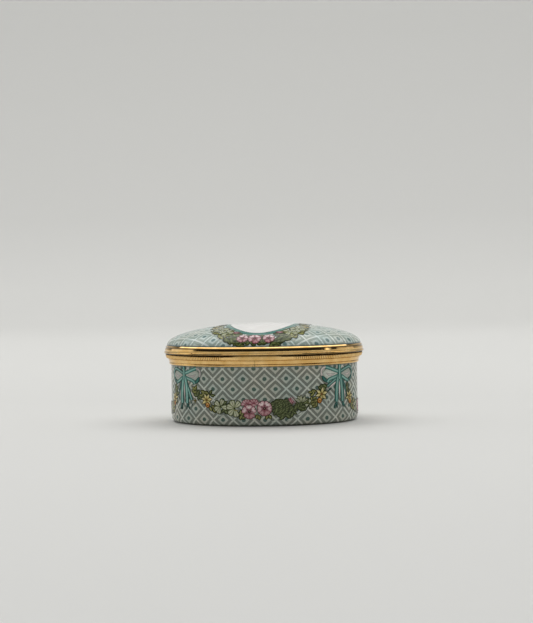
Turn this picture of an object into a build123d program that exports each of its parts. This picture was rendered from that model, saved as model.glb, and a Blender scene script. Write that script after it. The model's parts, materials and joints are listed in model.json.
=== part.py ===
"""Oval enamelled pill box with gilt-brass mounts and a domed, hinged lid.

The body and the lid are thin copper pressings with glass enamel fused on both
sides. A moulded brass mount grips the rim of each one. A plain brass throat
stands inside the rim of the body and the lid mount slips down over it, which
keeps the box shut. A five-knuckle hinge with a loose pin joins the two mounts
behind the box.

Frame: millimetres, +Z up. The origin is the centre of the flat underside, +X
runs along the length and the front, which has the thumb flat, faces -Y. Every
horizontal outline is an ellipse, and an "offset" is the distance from the
outside of the enamelled wall, positive outwards.
"""
from build123d import *
import os

# Body wall
WALL_A = 26.5  # half length of the wall's outer face
WALL_B = 20.2  # half width of the wall's outer face
WALL_TOP = 18.6  # the outer enamel stops here, inside the mount
SHELL_TOP = 18.9  # the copper and the inner enamel stop here
BOTTOM_RADIUS = 1.4  # rounding of the outer bottom edge

# Layers of the enamelled pressings, from outside to inside
OUTER_ENAMEL = 0.35
BODY_COPPER = 0.5
LID_COPPER = 0.45
INNER_ENAMEL = 0.3

# Mounts
PARTING_Z = 19.35  # joint between the two mounts, and the height of the hinge axis
PARTING_GAP = 0.1
BASE_MOUNT_TOP = PARTING_Z - PARTING_GAP / 2
BASE_MOUNT_BOTTOM = 16.3
LID_MOUNT_BOTTOM = PARTING_Z + PARTING_GAP / 2
LEDGE_TOP = 20.3  # the edge of the lid pressing stands on this ledge
LEDGE_OFFSET = -0.5  # inner edge of the ledge, clear of the throat
THUMB_FLAT_OFFSET = 0.88  # the flat filed across the front of the base mount
CUT_MARGIN = 5.0  # how far cutting solids reach past what they cut

# Throat inside the rim of the body
THROAT_OFFSET = -0.65  # outer face
THROAT_THICKNESS = 0.5
THROAT_TOP = 20.2

# Lid dome: the upper half of an ellipsoid above a short upright skirt
DOME_OFFSET = 1.1
DOME_BASE = 21.77
DOME_RISE = 5.85

# Hinge
KNUCKLE_NAMES = (
    "base_knuckle_left",
    "lid_knuckle_left",
    "base_knuckle_centre",
    "lid_knuckle_right",
    "base_knuckle_right",
)
KNUCKLE_PITCH = 2.2
KNUCKLE_GAP = 0.06
KNUCKLE_RADIUS = 0.95
KNUCKLE_CLEARANCE = 0.06  # around a knuckle, in the mount of the other half
HINGE_Y = 21.85
PIN_RADIUS = 0.4
PIN_CLEARANCE = 0.03  # in the lid knuckles


def oval_prism(offset, z_low, z_high):
    """Upright prism on the wall's ellipse, grown by offset."""
    outline = Ellipse(WALL_A + offset, WALL_B + offset)
    return extrude(Pos(0, 0, z_low) * outline, amount=z_high - z_low)


def body_solid(inset):
    """Solid inside the body surface that lies inset below its outer face."""
    prism = oval_prism(-inset, inset, SHELL_TOP + CUT_MARGIN)
    bottom_edge = prism.edges().group_by(Axis.Z)[0]
    return fillet(bottom_edge, BOTTOM_RADIUS - inset)


def body_layer(inset, thickness, top):
    """One layer of the body pressing, open at the top."""
    layer = body_solid(inset) - body_solid(inset + thickness)
    above = oval_prism(CUT_MARGIN, top, top + 2 * CUT_MARGIN)
    return layer - above


def dome_solid(inset):
    """Solid under the lid surface that lies inset below its outer face.

    It is turned as a round solid on the long half axis, then narrowed across.
    """
    half_length = WALL_A + DOME_OFFSET - inset
    half_width = WALL_B + DOME_OFFSET - inset
    rise = DOME_RISE - inset
    skirt = DOME_BASE - LEDGE_TOP
    crown = EllipticalCenterArc((0, 0), half_length, rise, start_angle=0, arc_size=90)
    rest = Polyline((0, rise), (0, -skirt), (half_length, -skirt), (half_length, 0))
    section = make_face(Plane.XZ * Curve([crown, rest]))
    round_solid = revolve(section, axis=Axis.Z)
    return Pos(0, 0, DOME_BASE) * scale(round_solid, by=(1, half_width / half_length, 1))


def lid_layer(inset, thickness):
    """One layer of the domed lid pressing, open underneath."""
    return dome_solid(inset) - dome_solid(inset + thickness)


def ring(outside, bottom, top):
    """Ring swept round the wall's ellipse.

    outside is the chain of edges up its outer face, drawn as (offset, height).
    The inner side is left thick, for a bore to cut.
    """
    inner_offset = -CUT_MARGIN
    start = outside[0] @ 0
    end = outside[-1] @ 1
    inside = Polyline(
        (end.X, top),
        (inner_offset, top),
        (inner_offset, bottom),
        (start.X, bottom),
    )
    section = make_face(Plane.XZ * Curve([*outside, inside]))
    path = Edge.make_ellipse(WALL_A, WALL_B)
    return sweep(Pos(WALL_A, 0, 0) * section, path=path)


def lid_mount_outside():
    """Bead at the parting line, plain upright band, splayed band and top bead."""
    low = LID_MOUNT_BOTTOM
    lower_bead = ThreePointArc((1.62, low), (1.99, low + 0.33), (1.7, low + 0.62))
    band = Line((1.7, low + 0.62), (1.7, low + 1.33))
    splay = ThreePointArc((1.7, low + 1.33), (1.57, low + 1.55), (1.47, low + 1.8))
    top_bead = ThreePointArc((1.47, low + 1.8), (1.42, low + 2.09), (1.17, low + 2.32))
    return [lower_bead, band, splay, top_bead]


def base_mount_outside():
    """From the wall up: lower bead, groove, bowed band, groove, overhanging upper band."""
    low = BASE_MOUNT_BOTTOM
    top = BASE_MOUNT_TOP
    foot = Line((0.15, low), (0.35, low + 0.06))
    lower_bead = ThreePointArc((0.35, low + 0.06), (0.55, low + 0.33), (0.47, low + 0.62))
    lower_groove = ThreePointArc((0.47, low + 0.62), (0.42, low + 0.68), (0.5, low + 0.75))
    bowed_band = ThreePointArc((0.5, low + 0.75), (0.66, low + 1.2), (0.84, low + 1.62))
    upper_groove = ThreePointArc((0.84, low + 1.62), (0.82, low + 1.74), (0.95, low + 1.8))
    overhang = Line((0.95, low + 1.8), (1.32, low + 1.9))
    upper_band = Line((1.32, low + 1.9), (1.55, top - 0.42))
    rim = ThreePointArc((1.55, top - 0.42), (1.47, top - 0.15), (1.2, top))
    bands = [foot, lower_bead, lower_groove, bowed_band, upper_groove, overhang]
    return [*bands, upper_band, rim]


def hinge_cylinder(x_low, x_high, radius):
    """Cylinder along the hinge axis."""
    middle = (x_low + x_high) / 2
    return Pos(middle, HINGE_Y, PARTING_Z) * Rot(0, 90, 0) * Cylinder(radius, x_high - x_low)


def knuckle_cells():
    """Name and x limits of each knuckle's share of the hinge."""
    left_end = -KNUCKLE_PITCH * len(KNUCKLE_NAMES) / 2
    for index, name in enumerate(KNUCKLE_NAMES):
        x_low = left_end + index * KNUCKLE_PITCH
        yield name, x_low, x_low + KNUCKLE_PITCH


def seat_knuckles(mount, half):
    """Cut seats for the half's own knuckles and clearances for the others."""
    for name, x_low, x_high in knuckle_cells():
        own = name.startswith(half)
        radius = KNUCKLE_RADIUS if own else KNUCKLE_RADIUS + KNUCKLE_CLEARANCE
        mount -= hinge_cylinder(x_low, x_high, radius)
    return mount


def base_mount():
    """Moulded ring that grips the rim of the body."""
    mount = ring(base_mount_outside(), BASE_MOUNT_BOTTOM, BASE_MOUNT_TOP)
    mount -= oval_prism(0, BASE_MOUNT_BOTTOM - CUT_MARGIN, WALL_TOP)
    mount -= oval_prism(-OUTER_ENAMEL, WALL_TOP - CUT_MARGIN, SHELL_TOP)
    mount -= oval_prism(THROAT_OFFSET, SHELL_TOP - CUT_MARGIN, BASE_MOUNT_TOP + CUT_MARGIN)
    flat_y = -(WALL_B + THUMB_FLAT_OFFSET)
    block = Box(2 * WALL_A, CUT_MARGIN, 2 * CUT_MARGIN)
    mount -= Pos(0, flat_y - CUT_MARGIN / 2, BASE_MOUNT_TOP) * block
    return seat_knuckles(mount, "base")


def base_throat():
    """Plain collar that the lid mount slips over."""
    outer = oval_prism(THROAT_OFFSET, SHELL_TOP, THROAT_TOP)
    return outer - oval_prism(THROAT_OFFSET - THROAT_THICKNESS, SHELL_TOP, THROAT_TOP)


def lid_mount():
    """Moulded ring that holds the edge of the lid pressing on a ledge."""
    outside = lid_mount_outside()
    top = (outside[-1] @ 1).Y
    mount = ring(outside, LID_MOUNT_BOTTOM, top)
    mount -= oval_prism(LEDGE_OFFSET, LID_MOUNT_BOTTOM - CUT_MARGIN, top + CUT_MARGIN)
    mount -= oval_prism(DOME_OFFSET, LEDGE_TOP, top + CUT_MARGIN)
    return seat_knuckles(mount, "lid")


def knuckle(name, x_low, x_high):
    """Hinge barrel section; the pin is tight in the base and free in the lid."""
    bore = PIN_RADIUS if name.startswith("base") else PIN_RADIUS + PIN_CLEARANCE
    start = x_low + KNUCKLE_GAP / 2
    end = x_high - KNUCKLE_GAP / 2
    return hinge_cylinder(start, end, KNUCKLE_RADIUS) - hinge_cylinder(start, end, bore)


def hinge_pin():
    """Plain pin through all five knuckles, flush with the outer two."""
    half_length = (KNUCKLE_PITCH * len(KNUCKLE_NAMES) - KNUCKLE_GAP) / 2
    return hinge_cylinder(-half_length, half_length, PIN_RADIUS)


def all_parts():
    """Every sub-part by name."""
    copper_inset = OUTER_ENAMEL
    body_lining_inset = copper_inset + BODY_COPPER
    lid_lining_inset = copper_inset + LID_COPPER
    parts = {
        "base_outer_enamel": body_layer(0, OUTER_ENAMEL, WALL_TOP),
        "base_copper_shell": body_layer(copper_inset, BODY_COPPER, SHELL_TOP),
        "base_inner_enamel": body_layer(body_lining_inset, INNER_ENAMEL, SHELL_TOP),
        "base_mount": base_mount(),
        "base_throat": base_throat(),
        "hinge_pin": hinge_pin(),
        "lid_outer_enamel": lid_layer(0, OUTER_ENAMEL),
        "lid_copper_shell": lid_layer(copper_inset, LID_COPPER),
        "lid_inner_enamel": lid_layer(lid_lining_inset, INNER_ENAMEL),
        "lid_mount": lid_mount(),
    }
    for name, x_low, x_high in knuckle_cells():
        parts[name] = knuckle(name, x_low, x_high)
    return parts


os.makedirs("parts", exist_ok=True)
for node, solid in all_parts().items():
    export_step(solid, f"parts/{node}.step")
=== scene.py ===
"""A painted enamel pill box with gilt mounts, on a plain studio sweep.

The two enamel skins and the two moulded mounts are rebuilt as fine meshes that
stand for their CAD nodes. The copper, the linings, the throat and the hinge
keep their CAD meshes and get better materials. The painted flowers, leaves and
ribbons are thin closed shapes that follow the enamel.

Lengths are millimetres until a mesh is written, and metres after that and in
the studio. Places on the wall are (s, z): s is the distance round the wall from
the middle of the front, positive to the right, and z the height. Places on the
lid are (x, y) as seen from above.
"""
import math
import random

import bmesh
import bpy
import numpy as np
from mathutils import Matrix, Vector
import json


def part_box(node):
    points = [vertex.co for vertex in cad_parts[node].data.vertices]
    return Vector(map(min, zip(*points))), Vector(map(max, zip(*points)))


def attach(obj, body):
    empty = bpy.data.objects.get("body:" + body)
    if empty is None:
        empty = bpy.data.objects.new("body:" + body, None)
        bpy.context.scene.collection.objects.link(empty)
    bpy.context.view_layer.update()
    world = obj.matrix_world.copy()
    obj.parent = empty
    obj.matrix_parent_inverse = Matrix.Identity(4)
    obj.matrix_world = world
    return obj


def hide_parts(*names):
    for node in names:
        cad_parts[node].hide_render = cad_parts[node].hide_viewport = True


MM = 0.001
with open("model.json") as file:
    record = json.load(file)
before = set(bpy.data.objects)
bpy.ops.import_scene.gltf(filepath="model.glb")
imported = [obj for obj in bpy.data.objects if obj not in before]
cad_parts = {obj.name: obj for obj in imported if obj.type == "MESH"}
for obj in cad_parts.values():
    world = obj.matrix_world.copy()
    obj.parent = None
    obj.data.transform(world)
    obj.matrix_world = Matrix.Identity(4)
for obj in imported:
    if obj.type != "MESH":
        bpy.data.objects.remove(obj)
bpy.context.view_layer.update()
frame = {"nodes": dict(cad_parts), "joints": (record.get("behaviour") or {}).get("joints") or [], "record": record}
random.seed(7)


# ---- dimensions


def corners_mm(node):
    """Lowest and highest corner of a CAD node, in millimetres."""
    low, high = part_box(node)
    return low / MM, high / MM


wall_high = corners_mm("base_outer_enamel")[1]
copper_high = corners_mm("base_copper_shell")[1]
throat_high = corners_mm("base_throat")[1]
dome_low, dome_high = corners_mm("lid_outer_enamel")
lid_mount_low, lid_mount_high = corners_mm("lid_mount")
base_mount_low, base_mount_high = corners_mm("base_mount")
knuckle_low, knuckle_high = corners_mm("base_knuckle_centre")

# An "offset" is the distance out from the wall's outer face.
WALL_A = wall_high.x  # half length
WALL_B = wall_high.y  # half width
WALL_TOP = wall_high.z
SHELL_TOP = copper_high.z
OUTER_ENAMEL = WALL_A - copper_high.x
BOTTOM_RADIUS = 1.4
THROAT_OFFSET = throat_high.x - WALL_A

DOME_A = dome_high.x
DOME_B = dome_high.y
DOME_TOP = dome_high.z
DOME_BASE = lid_mount_high.z + 0.05  # the dome rises from an upright skirt
DOME_RISE = DOME_TOP - DOME_BASE
DOME_OFFSET = DOME_A - WALL_A
LEDGE_TOP = dome_low.z
LEDGE_OFFSET = -0.5

HINGE = Vector(frame["joints"][0]["pos_m"]) / MM
KNUCKLE_RADIUS = (knuckle_high.z - knuckle_low.z) / 2
KNUCKLE_PITCH = 2.2
KNUCKLE_CLEARANCE = 0.06
KNUCKLE_COUNT = 5
SEAT_OVERLAP = 0.02  # how far the narrower hinge cuts reach into the wider ones, both ends

THUMB_FLAT_OFFSET = 0.88
REED_PITCH = 0.57
REED_DEPTH = 0.2
COLUMNS_PER_REED = 6
SMOOTH_HALF = 9.4  # the milling leaves this much plain, each side of the thumb flat

SKIN_COLUMNS = 256
PANEL_A = 9.0
PANEL_B = 16.7
BORDER_WIDTH = 1.75


# ---- surfaces


def distance_along(points):
    """Distance walked to each of a row of points."""
    steps = np.linalg.norm(np.diff(points, axis=0), axis=1)
    return np.concatenate([[0], np.cumsum(steps)])


class Oval:
    """The wall's ellipse, walked by distance from the middle of the front."""

    def __init__(self, half_length, half_width, steps=7200):
        self.a = half_length
        self.b = half_width
        self.turns = np.linspace(-math.pi, math.pi, steps + 1)
        x = self.a * np.sin(self.turns)
        y = -self.b * np.cos(self.turns)
        walked = distance_along(np.stack([x, y], axis=-1))
        self.girth = walked[-1]
        self.walked = walked - self.girth / 2

    def turn_at(self, s):
        """Ellipse parameter at distance s."""
        wrapped = (np.asarray(s) + self.girth / 2) % self.girth - self.girth / 2
        return np.interp(wrapped, self.walked, self.turns)

    def distance_at(self, x, y):
        """Distance round the ellipse nearest to a plan position."""
        turn = np.arctan2(np.asarray(x) / self.a, -np.asarray(y) / self.b)
        return np.interp(turn, self.turns, self.walked)

    def place(self, turn, offset):
        """Plan position at a parameter, offset outwards along the normal."""
        sine = np.sin(turn)
        cosine = np.cos(turn)
        length = np.hypot(self.b * sine, self.a * cosine)
        x = self.a * sine + offset * self.b * sine / length
        y = -self.b * cosine - offset * self.a * cosine / length
        return x, y


wall_oval = Oval(WALL_A, WALL_B)


def on_wall(s, z, lift):
    """Point on the body's enamel, lifted off it."""
    x, y = wall_oval.place(wall_oval.turn_at(s), lift)
    return np.stack([x, y, z + 0 * x], axis=-1)


class DomeLine:
    """Cross section of the dome, walked by distance from the crown."""

    def __init__(self, steps=2000):
        self.turns = np.linspace(0, math.pi / 2, steps + 1)
        y = DOME_B * np.sin(self.turns)
        z = DOME_RISE * np.cos(self.turns)
        self.walked = distance_along(np.stack([y, z], axis=-1))

    def turn_at(self, distance):
        return np.interp(distance, self.walked, self.turns)

    def distance_at(self, share):
        """Distance walked where the section has come out by this share of its width."""
        return np.interp(np.arcsin(np.clip(share, 0, 1)), self.turns, self.walked)


dome_line = DomeLine()


def lid_narrowing(x):
    """Size of the dome's cross section at x, as a share of the middle one."""
    return np.sqrt(np.clip(1 - (x / DOME_A) ** 2, 1e-6, 1))


def off_dome(x, y, rise, lift):
    """Point of the dome, lifted off it along its normal."""
    normal = np.stack([x / DOME_A**2, y / DOME_B**2, rise / DOME_RISE**2], axis=-1)
    normal /= np.linalg.norm(normal, axis=-1, keepdims=True)
    surface = np.stack([x, y, DOME_BASE + rise], axis=-1)
    return surface + normal * np.asarray(lift)[..., None]


def on_lid(x, q, lift):
    """Point on the lid's enamel at x, and q along the surface from the ridge."""
    x = np.asarray(x, float)
    narrowing = lid_narrowing(x)
    turn = dome_line.turn_at(np.abs(q) / narrowing)
    y = np.sign(q) * DOME_B * narrowing * np.sin(turn)
    return off_dome(x, y, DOME_RISE * narrowing * np.cos(turn), lift)


def lid_place(x, y):
    """(x, q) of a place on the lid that is given as seen from above."""
    narrowing = lid_narrowing(x)
    share = np.abs(y) / (DOME_B * narrowing)
    return x, np.copysign(dome_line.distance_at(share) * narrowing, y)


# ---- meshes


def add_object(name, data):
    """Puts an object in the scene."""
    made = bpy.data.objects.new(name, data)
    bpy.context.scene.collection.objects.link(made)
    return made


def shade_smooth(mesh, sharp):
    """Shades a mesh smooth, but for edges sharper than an angle in degrees."""
    mesh.polygons.foreach_set("use_smooth", [True] * len(mesh.polygons))
    mesh.set_sharp_from_angle(angle=math.radians(sharp))


def write_mesh(name, points, faces, body, material, replaces=(), sharp=40):
    """Makes a closed, smooth-shaded piece that rides on a CAD body."""
    mesh = bpy.data.meshes.new(name)
    mesh.from_pydata((np.asarray(points) * MM).tolist(), [], faces)
    work = bmesh.new()
    work.from_mesh(mesh)
    bmesh.ops.recalc_face_normals(work, faces=work.faces)
    work.to_mesh(mesh)
    work.free()
    shade_smooth(mesh, sharp)
    mesh.materials.append(material)
    piece = add_object(name, mesh)
    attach(piece, body)
    if replaces:
        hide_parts(*replaces)
    return piece


def grid_faces(rows, columns, ring=False):
    """Quads of a grid whose rows are closed loops; with ring, its columns are too."""
    index = np.arange(rows * columns).reshape(rows, columns)
    if ring:
        index = np.vstack([index, index[:1]])
    beside = np.roll(index, -1, axis=1)
    quads = np.stack([index[:-1], beside[:-1], beside[1:], index[1:]], axis=-1)
    return quads.reshape(-1, 4).tolist()


def fan_faces(pole, row):
    """Triangles from a pole to a closed row of points."""
    return [[pole, row[i - 1], row[i]] for i in range(len(row))]


def skin_mesh(rows, poles):
    """Points and faces of a closed skin of rows, with a pole at each end."""
    columns = len(rows[0])
    count = len(rows) * columns
    faces = grid_faces(len(rows), columns)
    faces += fan_faces(count, range(columns))
    faces += fan_faces(count + 1, range(count - columns, count))
    return np.concatenate([*rows, poles]), faces


def arc(start, through, end, count):
    """Points of the circle through three points, from start to before end."""
    (ax, ay), (bx, by), (cx, cy) = start, through, end
    d = 2 * (ax * (by - cy) + bx * (cy - ay) + cx * (ay - by))
    a2, b2, c2 = ax**2 + ay**2, bx**2 + by**2, cx**2 + cy**2
    ux = (a2 * (by - cy) + b2 * (cy - ay) + c2 * (ay - by)) / d
    uy = (a2 * (cx - bx) + b2 * (ax - cx) + c2 * (bx - ax)) / d
    radius = math.hypot(ax - ux, ay - uy)
    first = math.atan2(ay - uy, ax - ux)
    middle = math.atan2(by - uy, bx - ux)
    last = math.atan2(cy - uy, cx - ux)
    sweep = (last - first) % math.tau
    if (middle - first) % math.tau > sweep:
        sweep -= math.tau
    angles = [first + sweep * i / count for i in range(count)]
    return [(ux + radius * math.cos(t), uy + radius * math.sin(t)) for t in angles]


def line(start, end, count):
    """Points of a straight stretch, from start to before end."""
    along, up = end[0] - start[0], end[1] - start[1]
    steps = [i / count for i in range(count)]
    return [(start[0] + along * t, start[1] + up * t) for t in steps]


def moulding(start, *steps):
    """Section of a moulding, drawn on from start as (offset, z).

    A step is (end, count) for a line or (through, end, count) for an arc, and
    count the number of pieces that it is divided into.
    """
    points = []
    for *through, end, count in steps:
        drawn = arc(start, *through, end, count) if through else line(start, end, count)
        points += drawn
        start = end
    return points


def pattern_map(piece, place):
    """Gives a piece the flat coordinates that its painted pattern is laid out in.

    place turns points into u, v and the period of u, or 0 where u has none. A
    face across the join at the back keeps u running on instead of jumping back.
    """
    mesh = piece.data
    points = np.zeros(len(mesh.vertices) * 3)
    mesh.vertices.foreach_get("co", points)
    corner_vertex = np.zeros(len(mesh.loops), int)
    mesh.loops.foreach_get("vertex_index", corner_vertex)
    u, v, period = place(points.reshape(-1, 3)[corner_vertex] / MM)
    for face in mesh.polygons:
        corners = slice(face.loop_start, face.loop_start + face.loop_total)
        if period and np.ptp(u[corners]) > period / 2:
            u[corners] = np.where(u[corners] < 0, u[corners] + period, u[corners])
    layer = mesh.uv_layers.new(name="pattern")
    layer.data.foreach_set("uv", np.stack([u, v], axis=-1).ravel())


# ---- material helper


def srgb(red, green, blue):
    """Scene-linear colour of an 8-bit screen colour."""
    def linear(value):
        share = value / 255
        return share / 12.92 if share <= 0.04045 else ((share + 0.055) / 1.055) ** 2.4

    return (linear(red), linear(green), linear(blue), 1.0)


class Paint:
    """A material with short calls for the nodes that this scene uses."""

    def __init__(self, name):
        self.material = bpy.data.materials.new(name)
        self.material.use_nodes = True
        self.tree = self.material.node_tree
        self.shader = self.tree.nodes["Principled BSDF"]

    def node(self, kind, **settings):
        made = self.tree.nodes.new(kind)
        for key, value in settings.items():
            setattr(made, key, value)
        return made

    def feed(self, socket, value):
        """Links a socket, or sets it where value is a plain number or colour."""
        if isinstance(value, bpy.types.NodeSocket):
            self.tree.links.new(value, socket)
        else:
            socket.default_value = value

    def math(self, operation, *values):
        made = self.node("ShaderNodeMath", operation=operation)
        for socket, value in zip(made.inputs, values):
            self.feed(socket, value)
        return made.outputs[0]

    def mix(self, factor, first, second, blend="MIX"):
        made = self.node("ShaderNodeMix", data_type="RGBA", blend_type=blend)
        self.feed(made.inputs["Factor"], factor)
        self.feed(made.inputs[6], first)
        self.feed(made.inputs[7], second)
        return made.outputs[2]

    def ramp(self, factor, *stops, interpolation="LINEAR"):
        """Colour ramp; a stop is (place, colour) or (place, grey level)."""
        made = self.node("ShaderNodeValToRGB")
        made.color_ramp.interpolation = interpolation
        elements = made.color_ramp.elements
        while len(elements) < len(stops):
            elements.new(0.5)
        for element, (place, colour) in zip(elements, stops):
            element.position = place
            element.color = colour if isinstance(colour, tuple) else (colour, colour, colour, 1)
        self.feed(made.inputs[0], factor)
        return made.outputs[0]

    def mottled(self, colour, stipple, dark):
        """Colour broken up by fine noise; dark is the grey of its darkest specks."""
        mottle = self.ramp(stipple, (0.3, dark), (0.7, 1.0))
        return self.mix(0.4, colour, mottle, "MULTIPLY")

    def scaled(self, vector, x, y, z):
        made = self.node("ShaderNodeMapping")
        self.feed(made.inputs["Vector"], vector)
        made.inputs["Scale"].default_value = (x, y, z)
        return made.outputs[0]

    def place(self):
        """Position on the piece, in metres."""
        return self.node("ShaderNodeTexCoord").outputs["Object"]

    def attribute(self, name):
        return self.node("ShaderNodeAttribute", attribute_name=name)

    def noise(self, vector, scale, detail=3.0, roughness=0.5):
        made = self.node("ShaderNodeTexNoise")
        self.feed(made.inputs["Vector"], vector)
        made.inputs["Scale"].default_value = scale
        made.inputs["Detail"].default_value = detail
        made.inputs["Roughness"].default_value = roughness
        return made.outputs["Fac"]

    def split(self, vector):
        made = self.node("ShaderNodeSeparateXYZ")
        self.feed(made.inputs[0], vector)
        return made.outputs

    def join(self, x, y, z):
        made = self.node("ShaderNodeCombineXYZ")
        for socket, value in zip(made.inputs, (x, y, z)):
            self.feed(socket, value)
        return made.outputs[0]

    def bump(self, height, strength, distance_mm, below=None):
        made = self.node("ShaderNodeBump")
        made.inputs["Strength"].default_value = strength
        made.inputs["Distance"].default_value = distance_mm * MM
        self.feed(made.inputs["Height"], height)
        if below is not None:
            self.feed(made.inputs["Normal"], below)
        return made.outputs[0]

    def finish(self, colour, roughness, normal=None, metallic=0.0, **uniform):
        """Connects the shader; uniform sets sockets that never vary."""
        self.feed(self.shader.inputs["Base Color"], colour)
        self.feed(self.shader.inputs["Roughness"], roughness)
        self.shader.inputs["Metallic"].default_value = metallic
        if normal is not None:
            self.feed(self.shader.inputs["Normal"], normal)
        for key, value in uniform.items():
            self.shader.inputs[key.replace("_", " ")].default_value = value
        return self.material


# ---- materials

# Blue of the rim band: painted shade under the wall's mount, a blue line at the foot of the lid's dome
RIM_LINE_AND_SHADE_BLUE = (0.13, 0.18, 0.19, 1)
# Painted contact shade at the foot of the wall
FOOT_SHADE_GREEN = (0.05, 0.06, 0.035, 1)
WALL_TONES = {
    "dark": (0.245, 0.265, 0.23, 1),
    "pale": (0.605, 0.625, 0.56, 1),
    "line": (0.73, 0.75, 0.69, 1),
    "dot": (0.10, 0.165, 0.14, 1),
}
LID_TONES = {
    "dark": (0.455, 0.53, 0.485, 1),
    "pale": (0.72, 0.80, 0.77, 1),
    "line": (0.88, 0.94, 0.92, 1),
    "dot": (0.20, 0.30, 0.29, 1),
}


def lattice_enamel(name, tones, rim_low, rim_high):
    """Glossy pale enamel printed with a diamond lattice and a dot in each diamond.

    rim_low and rim_high are heights in millimetres: a blue band starts at
    rim_low and is full at rim_high. Under the wall's gilt mount it is painted
    shade; round the foot of the lid's dome it is a blue line.
    """
    paint = Paint(name)
    place = paint.place()
    flat = paint.node("ShaderNodeUVMap", uv_map="pattern").outputs[0]
    u, v, _ = paint.split(flat)
    wobble = 0.06
    for_u = paint.math("SUBTRACT", paint.noise(flat, 2.3, 3, 0.6), 0.5)
    for_v = paint.math("SUBTRACT", paint.noise(paint.scaled(flat, 1.7, 1.3, 1), 2.1, 3, 0.6), 0.5)
    u = paint.math("ADD", u, paint.math("MULTIPLY", for_u, wobble))
    v = paint.math("ADD", v, paint.math("MULTIPLY", for_v, wobble))

    def from_centre(value):
        """Distance to the nearest whole number."""
        fraction = paint.math("FRACT", paint.math("ADD", value, 0.5))
        return paint.math("ABSOLUTE", paint.math("SUBTRACT", fraction, 0.5))

    rising = from_centre(paint.math("ADD", u, v))
    falling = from_centre(paint.math("SUBTRACT", u, v))
    reach = paint.math("MAXIMUM", rising, falling)
    squares = [paint.math("POWER", side, 2.0) for side in (rising, falling)]
    round_reach = paint.math("SQRT", paint.math("ADD", *squares))
    bands = paint.ramp(
        reach,
        (0.25, tones["pale"]),
        (0.28, tones["dark"]),
        (0.435, tones["dark"]),
        (0.455, tones["line"]),
    )
    dot = paint.ramp(round_reach, (0.125, 1.0), (0.16, 0.0))
    colour = paint.mix(dot, bands, tones["dot"])

    colour = paint.mottled(colour, paint.noise(place, 2600, 2, 0.7), 0.4)
    cloud = paint.noise(place, 160, 3)
    tint = paint.ramp(cloud, (0.35, srgb(224, 240, 236)), (0.65, srgb(255, 250, 238)))
    colour = paint.mix(0.6, colour, tint, "MULTIPLY")
    height = paint.math("MULTIPLY", paint.split(place)[2], 1 / MM)
    # Blue band by height: painted shade just under the wall's mount, a blue line at the foot of the lid's dome
    rim = paint.node("ShaderNodeMapRange")
    for key, value in (("Value", height), ("From Min", rim_low), ("From Max", rim_high)):
        paint.feed(rim.inputs[key], value)
    colour = paint.mix(rim.outputs[0], colour, RIM_LINE_AND_SHADE_BLUE)
    # Painted contact shade: the wall turns dark olive over its lowest 0.7 mm, where it meets the floor
    foot = paint.ramp(height, (0.2, 0.85), (0.7, 0.0))
    colour = paint.mix(foot, colour, FOOT_SHADE_GREEN)

    normal = paint.bump(paint.noise(place, 110, 2), 0.25, 0.05)
    normal = paint.bump(paint.noise(place, 1500, 2), 0.06, 0.01, normal)
    roughness = paint.ramp(paint.noise(place, 300, 3), (0.3, 0.10), (0.7, 0.19))
    return paint.finish(colour, roughness, normal, IOR=1.45, Specular_IOR_Level=0.3)


def gilt(name, colour_low, colour_high, roughness_low, roughness_high, scratch=0.12):
    """Polished gilt brass, drawn with fine lines and darkened by a point attribute: real tarnish in the hollows,
    painted shade and painted dark reflections.
    """
    paint = Paint(name)
    place = paint.place()
    tarnish = paint.noise(place, 420, 5, 0.6)
    colour = paint.ramp(tarnish, (0.35, colour_low), (0.65, colour_high))
    drawn = paint.noise(paint.scaled(place, 240, 240, 16000), 1.0, 3, 0.6)
    speck = paint.noise(place, 5200, 3, 0.6)
    pit = paint.ramp(speck, (0.30, 0.55), (0.40, 1.0))
    colour = paint.mix(1.0, colour, pit, "MULTIPLY")
    # Darkening carried by the mount meshes: real tarnish in grooves and seams, painted shade in recesses, and
    # painted reflection of the dark room
    patina_and_painted_shade = paint.attribute("patina_and_painted_shade").outputs["Fac"]
    colour = paint.mix(patina_and_painted_shade, colour, (0.07, 0.045, 0.015, 1))
    normal = paint.bump(drawn, scratch, 0.01)
    normal = paint.bump(speck, 0.08, 0.006, normal)
    roughness = paint.ramp(tarnish, (0.3, roughness_low), (0.7, roughness_high))
    return paint.finish(colour, roughness, normal, metallic=1.0)


def plain_enamel(name, light, shade):
    """Glossy one-colour enamel with pinholes and a faint cloudiness."""
    paint = Paint(name)
    place = paint.place()
    cloud = paint.noise(place, 130, 4)
    colour = paint.ramp(cloud, (0.3, shade), (0.7, light))
    pin = paint.noise(place, 3200, 1)
    colour = paint.mix(1.0, colour, paint.ramp(pin, (0.2, 0.45), (0.25, 1.0)), "MULTIPLY")
    normal = paint.bump(paint.noise(place, 150, 2), 0.3, 0.06)
    roughness = paint.ramp(cloud, (0.3, 0.12), (0.7, 0.22))
    return paint.finish(colour, roughness, normal, IOR=1.52)


def copper_material():
    """Fired copper, dull and darkened where it shows between the enamels."""
    paint = Paint("fired_copper")
    place = paint.place()
    scale = paint.noise(place, 900, 5, 0.65)
    colour = paint.ramp(scale, (0.3, srgb(96, 52, 36)), (0.7, srgb(190, 110, 76)))
    roughness = paint.ramp(scale, (0.3, 0.6), (0.7, 0.35))
    normal = paint.bump(scale, 0.2, 0.02)
    return paint.finish(colour, roughness, normal, metallic=1.0)


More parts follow.
